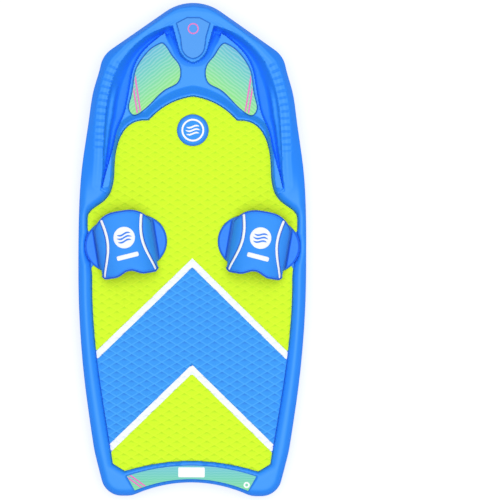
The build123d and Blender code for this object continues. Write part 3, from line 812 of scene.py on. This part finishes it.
def pad(name, node, paint, slot):
    """One piece of embossed foam: diamonds with raised lines between them, rolled down at its rim, with
    painted shade in each diamond's dent and a painted highlight on the lines.

    p and q count diamonds along the two slanting directions."""
    lo, hi = (np.array(corner) * 1000 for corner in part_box(node))
    area = Region(*rims(node, PAD_TOP))
    p_low = math.floor(lo[0] / DIAMOND_W + lo[1] / DIAMOND_L) - 1
    p_high = math.ceil(hi[0] / DIAMOND_W + hi[1] / DIAMOND_L) + 1
    q_low = math.floor(lo[0] / DIAMOND_W - hi[1] / DIAMOND_L) - 1
    q_high = math.ceil(hi[0] / DIAMOND_W - lo[1] / DIAMOND_L) + 1
    steps_p = (np.arange(p_low, p_high)[:, None] + FINE).ravel()
    steps_q = (np.arange(q_low, q_high)[:, None] + FINE).ravel()
    plan, quads = grid(steps_p, steps_q)
    p, q = plan.T
    points = np.column_stack([(p + q) * DIAMOND_W / 2, (p - q) * DIAMOND_L / 2])
    middle = points[quads].mean(axis=1)
    close = ((middle > lo[:2] - 6) & (middle < hi[:2] + 6)).all(axis=1)
    quads = quads[close]
    used, quads = np.unique(quads, return_inverse=True)
    kept, faces, depth, lone = lattice(area, points[used], quads.reshape(-1, 4), 0.5)
    x, y = kept.T
    p, q = x / DIAMOND_W + y / DIAMOND_L, x / DIAMOND_W - y / DIAMOND_L
    fp, fq = p % 1, q % 1
    edge = np.minimum(np.minimum(fp, 1 - fp), np.minimum(fq, 1 - fq))
    ridge = 1 - smooth(0.02, 0.11, edge)
    corner = smooth(0.52, 0.92, (fp + 1 - fq) / 2) * (1 - ridge)
    belly = 0.35 * smooth(0, 0.5, edge) * (1 - corner)
    rolled = 1.6 * (1 - smooth(0, 2.6, depth)) ** 2
    height = PAD_TOP - 1.0 + 0.85 * ridge - 0.9 * corner + belly - rolled
    surface = np.column_stack([kept, height])
    vertices, faces, foot = skirt(surface, faces, lone, lambda y: PAN_Z + 0.05)
    # corner marks each diamond's dent for painted shade, and ridge the raised lines for a painted highlight
    piece = make(name, vertices, faces, paint.material, replaces=[node], slot=slot, fill=foot,
                 angle=50, deep=corner, line=ridge)


pad("pad_front", "deck_pad_front", lime_paint, "pad_lime")
pad("pad_middle", "deck_pad_middle", blue_paint, "pad_blue")
pad("pad_rear", "deck_pad_rear", lime_paint, "pad_lime")
pad("chevron_front", "pad_chevron_front", white_paint, "pad_white")
pad("chevron_rear", "pad_chevron_rear", white_paint, "pad_white")

# the round emblem in the pad: a smooth foam disc with a raised, rolled rim, as rings of (radius, z)
rings = [(12, 77.1), (24, 77.0), (29, 76.6), (33, 76.4), (36.5, 76.6), (38.5, 77.6), (40.5, 77.8),
         (42.2, 77.2), (42.9, 76.0), (43, 70.05)]
spokes = 96
turns = [2 * math.pi * k / spokes for k in range(spokes)]
vertices = [(0, EMBLEM_Y, 77.0)]
vertices += [(radius * math.cos(a), EMBLEM_Y + radius * math.sin(a), z) for radius, z in rings for a in turns]
faces = [(0, 1 + k, 1 + (k + 1) % spokes) for k in range(spokes)]
faces += [(a, d, c, b) for a, b, c, d in ring_faces(len(rings), spokes, base=1)]
faces.append(tuple(range(len(vertices) - spokes, len(vertices))))
# painted shade on the disc's rolled rim, outside 38 mm
deep = [0.0] + [float(radius > 38) for radius, _ in rings for _ in turns]
emblem = make("emblem_disc", vertices, faces, blue_paint.material, replaces=["pad_emblem_disc"],
              slot="pad_blue", deep=deep)


# --- CAD nodes that are shown as they are
def dress(node, paint):
    mesh = frame["nodes"][node].data
    mesh.materials.clear()
    mesh.materials.append(paint.material)


dress("pad_emblem_mark", label_paint)
dress("tongue_badge", badge_paint)
dress("tongue_ring", pink_paint)
dress("tail_graphic", tail_film)
dress("tail_stripes", pink_paint)
dress("tail_label", label_paint)
for name, side in SIDES.items():
    dress(f"nose_inset_{name}", nose_film[side])
    dress(f"nose_stripes_{name}", pink_paint)
    dress(f"{name}_clamp_plates", steel_paint)
    dress(f"{name}_strap_screws", steel_paint)
    dress(f"{name}_strap_inserts", brass_paint)


# --- foot straps
ARCH_Z, ARCH_V = 80.0, 95.0  # where the arch springs from, and half its length
ARCH_HALF, HEEL_RISE, RISE_LOST = 64, 66, 20  # half width inside, and height from heel to toe
COVER_FOOT, COVER_IN, PIPING_OFF, BINDING_OFF = 15, 10.9, 15.1, 12.9
BADGE_V, BADGE_R = 16, 29  # the round emblem's middle and radius
FAR = 30  # a gap at which the cover is fully puffed
piping_u = np.polynomial.Polynomial.fit((-84, -45, -15, 18, 50, 82), (70, 58.5, 49.5, 46.5, 50, 57), 4)


def toe_edge(u):
    return 87 - 44 * (abs(u) / 80) ** 3.2


def heel_edge(u):
    return -73 - 13 * float(smooth(2, 40, abs(u))) + 14 * float(smooth(66, 84, abs(u)))


class Strap:
    """One foot strap's own frame: u across it and v along the foot.

    Its cover swings on the joint at its outboard edge."""

    def __init__(self, name):
        self.name, self.side = name, SIDES[name]
        joint = next(j for j in frame["joints"] if j["child"] == f"{name}_cover")
        self.along = np.array(joint["axis"][:2]) * self.side
        self.across = np.array([self.along[1], -self.along[0]])
        self.centre = np.array(joint["pos_m"][:2]) * 1000 - self.side * 79.5 * self.across

    def world(self, u, v, z):
        x, y = self.centre + u * self.across + v * self.along
        return (x, y, z)

    def arch(self, angle, v, off):
        """A point off mm outside the liner's inner face, at an angle round the arch and at v."""
        share = (v + ARCH_V) / (2 * ARCH_V)
        rise = HEEL_RISE - RISE_LOST * share + off
        return ((ARCH_HALF + off) * math.cos(angle), v, ARCH_Z + rise * math.sin(angle))

    def over(self, u, v, off):
        """The arch's point above a plan point (u, v)."""
        angle = math.acos(max(-1.0, min(1.0, u / (ARCH_HALF + off))))
        return self.arch(angle, v, off)

    def on_cover(self, u, v, lift):
        return self.over(u, v, cover_off(u, v, FAR) + lift)

    def piece(self, kind, shape, paint, body, replaces, slot, angle=50):
        points, faces = shape
        return make(f"{self.name}_{kind}", [self.world(*p) for p in points], faces, paint.material,
                    body=body, replaces=replaces, slot=slot, angle=angle)


def seam_dip(u, v, width):
    """1 on the lines of piping, falling to 0 beside them."""
    line = float(piping_u(v))
    return math.exp(-((abs(u) - line) / width) ** 2)


def lap(strap, rows, angles, ends, inner_off, outer_off, roll):
    """A curved band of padding: an outer face, an inner face and a rounded edge between them.

    angles gives the arch angle of each column, and ends the band's two ends along v at that column.
    outer_off gives the outer face's distance from the arch, for a place and its gap, which is how far
    it is from the band's nearest edge."""
    points = []
    stations = [0.0, 0.012, 0.035, 0.07] + list(np.linspace(0.11, 0.89, rows)) + [0.93, 0.965, 0.988, 1.0]
    ring = 2 * len(stations) + 2
    for i, angle in enumerate(angles):
        u_near = (ARCH_HALF + inner_off) * math.cos(angle)
        low, high = ends(u_near)
        end_gap = min(i, len(angles) - 1 - i) / (len(angles) - 1) * 3.1 * 76
        outer, inner = [], []
        for t in stations:
            v = low + (high - low) * t
            gap = min(end_gap, (high - low) * min(t, 1 - t))
            outer.append(strap.arch(angle, v, outer_off(u_near, v, gap)))
            inner.append(strap.arch(angle, v, inner_off))
        lip_off = (inner_off + outer_off(u_near, low, 0.0)) / 2
        before = strap.arch(angle, low - roll, lip_off)
        after = strap.arch(angle, high + roll, lip_off)
        points += outer + [after] + inner[::-1] + [before]
    faces = ring_faces(len(angles), ring)
    for base in (0, (len(angles) - 1) * ring):
        half = len(stations)
        for k in range(half - 1):
            faces.append((base + k, base + k + 1, base + ring - 3 - k, base + ring - 2 - k))
        faces.append((base, base + ring - 2, base + ring - 1))
        faces.append((base + half - 1, base + half, base + half + 1))
    return points, faces


def tube(path, normals, width, height, sides=8):
    """A strip of elliptical section along a path. normals point out of the surface it lies on."""
    points = []
    path = [np.array(p, float) for p in path]
    for i, (p, n) in enumerate(zip(path, normals)):
        along = path[min(i + 1, len(path) - 1)] - path[max(i - 1, 0)]
        along /= np.linalg.norm(along)
        n = np.array(n, float)
        n -= along * (n @ along)
        n /= np.linalg.norm(n)
        beside = np.cross(along, n)
        taper = 0.75 if i in (0, len(path) - 1) else 1.0
        for k in range(sides):
            turn = 2 * math.pi * k / sides
            spoke = beside * width / 2 * math.cos(turn) + n * height / 2 * math.sin(turn)
            points.append(tuple(p + taper * spoke))
    ends = [tuple(range(sides)), tuple(range(len(points) - sides, len(points)))]
    return points, ring_faces(len(path), sides) + ends


def surface_normal(strap, u, v, off):
    inward = 1 if u < 0 else -1
    here, ahead, beside = (
        np.array(strap.over(*p, off)) for p in ((u, v), (u, v + 1), (u + inward, v)))
    n = np.cross(ahead - here, beside - here)
    return n if n[2] > 0 else -n


def cover_off(u, v, gap):
    """The cover's puffed outer face, sewn down at its edges and along the piping."""
    puff = (1 - math.exp(-((gap / 7) ** 2))) * (1 - 0.85 * seam_dip(u, v, 6.5))
    middle = max(0.0, 1 - (abs(u) / 44) ** 2)
    return 13.6 + 2.4 * puff + 0.5 * puff * middle + 0.25 * math.sin(v * 0.33 + u * 0.12) * puff


def liner_off(u, v, gap):
    return 5.4 + 2.1 * (1 - math.exp(-((gap / 6) ** 2)))


def stitches(strap, paths, length=3.0, pitch=4.6, size=0.45):
    """A row of short raised threads along each path of (u, v, off)."""
    points, faces = [], []
    for path in paths:
        spots = [np.array(strap.over(*p)) for p in path]
        gaps = [np.linalg.norm(b - a) for a, b in zip(spots, spots[1:])]
        run = np.concatenate([[0], np.cumsum(gaps)])
        for s in np.arange(pitch, run[-1] - pitch, pitch):
            ends = [np.array([np.interp(s + d, run, [p[k] for p in spots]) for k in range(3)])
                    for d in (-length / 2, length / 2)]
            along = (ends[1] - ends[0]) / np.linalg.norm(ends[1] - ends[0])
            beside = np.cross(along, (0, 0, 1))
            beside /= np.linalg.norm(beside)
            n = np.cross(beside, along)
            base = len(points)
            for middle, share in ((ends[0], 0.55), ((ends[0] + ends[1]) / 2, 1.0), (ends[1], 0.55)):
                points += [tuple(middle + size * share * (beside * math.cos(a) + n * math.sin(a)))
                           for a in np.linspace(0, 2 * math.pi, 6)[:5]]
            faces += ring_faces(3, 5, base)
            faces += [tuple(base + k for k in range(5)), tuple(base + 10 + k for k in range(5))]
    return points, faces


def patch(strap, outline_uv, thickness, rings=7, sunk=-0.8):
    """A soft badge on the cover: an outline drawn in towards its middle, domed, with a rounded edge.

    Its underside follows the cover, sunk a little into it."""
    outline_uv = np.array(outline_uv, float)
    middle = outline_uv.mean(axis=0)
    count = len(outline_uv)
    levels = [(k / rings, sunk) for k in range(1, rings + 1)]
    levels += [(1.0, 0.45 * thickness), (0.975, 0.85 * thickness), (0.94, thickness)]
    levels += [(0.94 * (1 - k / rings), thickness * (1 + 0.12 * k / rings)) for k in range(1, rings)]
    points = [strap.on_cover(u, v, lift)
              for share, lift in levels for u, v in middle + share * (outline_uv - middle)]
    points += [strap.on_cover(*middle, lift) for lift in (levels[-1][1], sunk)]
    faces = ring_faces(len(levels), count)
    last = (len(levels) - 1) * count
    faces += [(last + k, last + (k + 1) % count, len(points) - 2) for k in range(count)]
    faces += [(k, (k + 1) % count, len(points) - 1) for k in range(count)]
    return points, faces


def merged(shapes):
    points, faces = [], []
    for more_points, more_faces in shapes:
        faces += [tuple(k + len(points) for k in face) for face in more_faces]
        points += more_points
    return points, faces


def waves(y, radius, levels, place):
    """Three wavy strokes inside a circle round (0, y), tapered at their ends.

    levels are those of a stroke's top and of the foot of its edge. place gives the point for
    (x, y, level)."""
    strokes = []
    for row in (-9.5, 0, 9.5):
        half = math.sqrt(radius**2 - row**2)
        ts = np.linspace(-half, half, 25)
        rise, thick = y + row + 3.0 * np.sin(ts / 6.5), 2.4 * (1 - (ts / half) ** 4)
        edge = [*zip(ts, rise + thick), *zip(ts[::-1], (rise - thick)[::-1])]
        total = len(edge)
        top = [(k, k + 1, total - 2 - k, total - 1 - k) for k in range(total // 2 - 1)]
        points = [place(x, y_edge, level) for level in levels for x, y_edge in edge]
        strokes.append((points, top + ring_faces(2, total)))
    return merged(strokes)


def rounded_bar(u, v, width, length, turn, radius=4.0):
    """A bar's rounded outline as (u, v) points, with some along its long sides too."""
    found = []
    for cu, cv, start in ((1, 1, 0), (-1, 1, 90), (-1, -1, 180), (1, -1, 270)):
        for k in range(7):
            a = math.radians(start + 15 * k)
            found.append((cu * (width / 2 - radius) + radius * math.cos(a),
                          cv * (length / 2 - radius) + radius * math.sin(a)))
        if start in (0, 180):
            found += [(x, found[-1][1]) for x in np.linspace(found[-1][0], -found[-1][0], 20)[1:-1]]
    c, s = math.cos(math.radians(turn)), math.sin(math.radians(turn))
    return [(u + c * a - s * b, v + s * a + c * b) for a, b in found]


def build_strap(name):
    strap = Strap(name)
    cover, side = f"{name}_cover", strap.side
    foot_angle = math.asin(COVER_FOOT / 74.0)

    # the liner: an arch on two padded legs, with a foot under each clamp plate
    angles = np.linspace(0, math.pi, 49)
    body = lap(strap, 18, angles,
               lambda u: (heel_edge(u) + 5, min(toe_edge(u), 62 + 0.2 * abs(u)) - 4), 0.4, liner_off, 1.4)
    legs = []
    for sign in (-1, 1):
        for u0, u1, z0, z1, reach in ((64.4, 71.0, 70.4, 81.5, 48.0), (47.5, 66.5, 70.2, 72.9, 56.0)):
            z = (z0 + z1) / 2
            ring = [(u0, z0), (u1, z0), (u1 + 0.3, z), (u1, z1), (u0, z1), (u0 - 0.3, z)]
            points = [(sign * u, v, z) for v in np.linspace(-reach, reach, 9) for u, z in ring]
            legs.append((points, ring_faces(9, 6) + [tuple(range(6)), tuple(range(48, 54))]))
    liner = strap.piece("liner", merged([body] + legs), lining_paint, "board",
                        [f"{name}_strap_liner"], "strap_lining")

    # the cover and what is sewn on it
    angles = np.linspace(foot_angle, math.pi - foot_angle, 73)
    shell = lap(strap, 26, angles, lambda u: (heel_edge(u), toe_edge(u)), COVER_IN, cover_off, 2.0)
    top = strap.piece("cover", shell, strap_paint, cover, [f"{name}_cover_shell"], "strap_fabric",
                      angle=70)
    strips, seams, bound = [], [], []

    def strip(line, width, height):
        """A tube over (u, v, off) points."""
        normals = [surface_normal(strap, *p) for p in line]
        return tube([strap.over(*p) for p in line], normals, width, height)

    for sign in (-1, 1):
        vs = np.linspace(-87, 87, 59)
        line = [(sign * float(piping_u(v)), v) for v in vs]
        line = [(u, v) for u, v in line if heel_edge(u) + 1 < v < toe_edge(u) - 1]
        strips.append(strip([(u, v, PIPING_OFF) for u, v in line], 8.2, 3.6))
        for beside in (-4.6, 4.6):
            edge = [(u + sign * beside, v) for u, v in line]
            edge = [(u, v, cover_off(u, v, FAR) + 0.2) for u, v in edge]
            bound.append(strip(edge, 1.8, 1.4))
            aside = math.copysign(1.6, sign * beside)
            seams.append([(u + aside, v, off + 0.2) for u, v, off in edge])
    strap.piece("piping", merged(strips), trim_paint, cover, [f"{name}_cover_piping"], "white_trim")
    us = np.linspace(-76, 76, 70)
    for edge, inward in ((heel_edge, 1), (toe_edge, -1)):
        bound.append(strip([(u, edge(u) + 0.32 * inward, BINDING_OFF) for u in us], 5.0, 6.2))
        seams.append([(u, edge(u) + 5.5 * inward, 15.3) for u in us[3:-3]])
    strap.piece("binding", merged(bound), binding_paint, cover, (), "strap_fabric")
    strap.piece("stitching", stitches(strap, seams), thread_paint, cover, (), "strap_fabric")
    turns = np.linspace(0, 2 * math.pi, 73)[:72]
    circle = [(BADGE_R * math.cos(a), BADGE_V + BADGE_R * math.sin(a)) for a in turns]
    strap.piece("emblem", patch(strap, circle, 1.0), trim_paint, cover, [f"{name}_cover_emblem"],
                "white_trim")
    mark = waves(BADGE_V, 21, (1.75, 0.6), strap.on_cover)
    strap.piece("emblem_mark", mark, ink_paint, cover, (), "strap_fabric")
    bar = rounded_bar(1.5, -35, 60, 12.5, side * -5)
    strap.piece("badge", patch(strap, bar, 1.0), trim_paint, cover, [f"{name}_cover_badge"],
                "white_trim")

    # hook and loop tape, one on each face of the closing end
    for kind, low, high, host in (("loop_tape", 7.7, 9.1, "board"), ("hook_tape", 9.5, 10.8, cover)):
        angles = [math.acos(u / 72) for u in np.linspace(42, 70, 12)]
        if side > 0:
            angles = [math.pi - a for a in angles]
        tape = lap(strap, 12, angles, lambda u: (-46, 46), low, lambda u, v, gap: high, 0.4)
        strap.piece(kind, tape, tape_paint, host, [f"{name}_{kind}"], "tape")

    # the D-shaped rubber mouldings beside the strap
    for kind in ("inboard", "outboard"):
        node = f"{name}_fairing_{kind}"
        area = Region(rims(node, PAN_Z, down=True)[0])
        low, high = area.points.min(axis=0), area.points.max(axis=0)
        plan, quads = grid(*(np.arange(a - 3, b + 3, 1.5) for a, b in zip(low, high)))
        kept, faces, depth, lone = lattice(area, plan, quads, 0.6)
        local = (kept - strap.centre) @ np.column_stack([strap.across, strap.along])
        ribs = 0.5 * smooth(0.35, 0.0, abs((local[:, 1] / 13) % 1 - 0.5)) * smooth(9, 12, depth)
        rolled = 3.6 * (1 - smooth(0, 4.5, depth)) ** 1.3
        height = 82.9 - rolled - 0.5 * smooth(4, 14, depth) - ribs
        surface = np.column_stack([kept, height])
        vertices, faces, foot = skirt(surface, faces, lone, lambda y: PAN_Z + 0.1)
        make(node, vertices, faces, rubber_paint.material, replaces=[node], slot="fairing_rubber",
             fill=foot)


for name in SIDES:
    build_strap(name)

points, faces = waves(EMBLEM_Y, 20.5, (77.7, 76.8), lambda x, y, z: (x, y, z))
make("emblem_waves", points, faces, label_paint.material, slot="white_film")


# --- floor, light and camera
def studio():
    """A pale floor, a broad soft light overhead and a camera high above the board."""
    bpy.ops.mesh.primitive_plane_add(size=12, location=(0, 0, -0.0005))
    floor = bpy.context.object
    floor.name = "floor"
    paint = plain("floor_white", (0.5, 0.5, 0.5, 1), 0.9, 4.0, 0.1, Emission_Color=(1, 1, 1, 1),
                  Emission_Strength=0.58)
    floor.data.materials.append(paint.material)
    sun = bpy.data.lights.new("overhead", "AREA")
    sun.shape, sun.size, sun.energy = "DISK", 3.6, 98
    lamp = bpy.data.objects.new("overhead", sun)
    lamp.location = (0.1, 0.0, 3.4)
    bpy.context.scene.collection.objects.link(lamp)
    world = bpy.data.worlds.new("studio")
    world.use_nodes = True
    sky = world.node_tree.nodes["Background"].inputs
    sky["Color"].default_value = (0.9, 0.95, 1.0, 1)
    sky["Strength"].default_value = 0.43
    bpy.context.scene.world = world
    lens = bpy.data.cameras.new("camera")
    lens.lens, lens.sensor_width, lens.shift_x, lens.clip_end = 159.4, 36, 0.1153, 50
    camera = bpy.data.objects.new("camera", lens)
    camera.location = (0.0, 0.0, 6.1)
    camera.rotation_euler = (0, 0, math.radians(0.22))
    bpy.context.scene.collection.objects.link(camera)
    bpy.context.scene.camera = camera
    bpy.context.scene.view_settings.view_transform = "Standard"


studio()
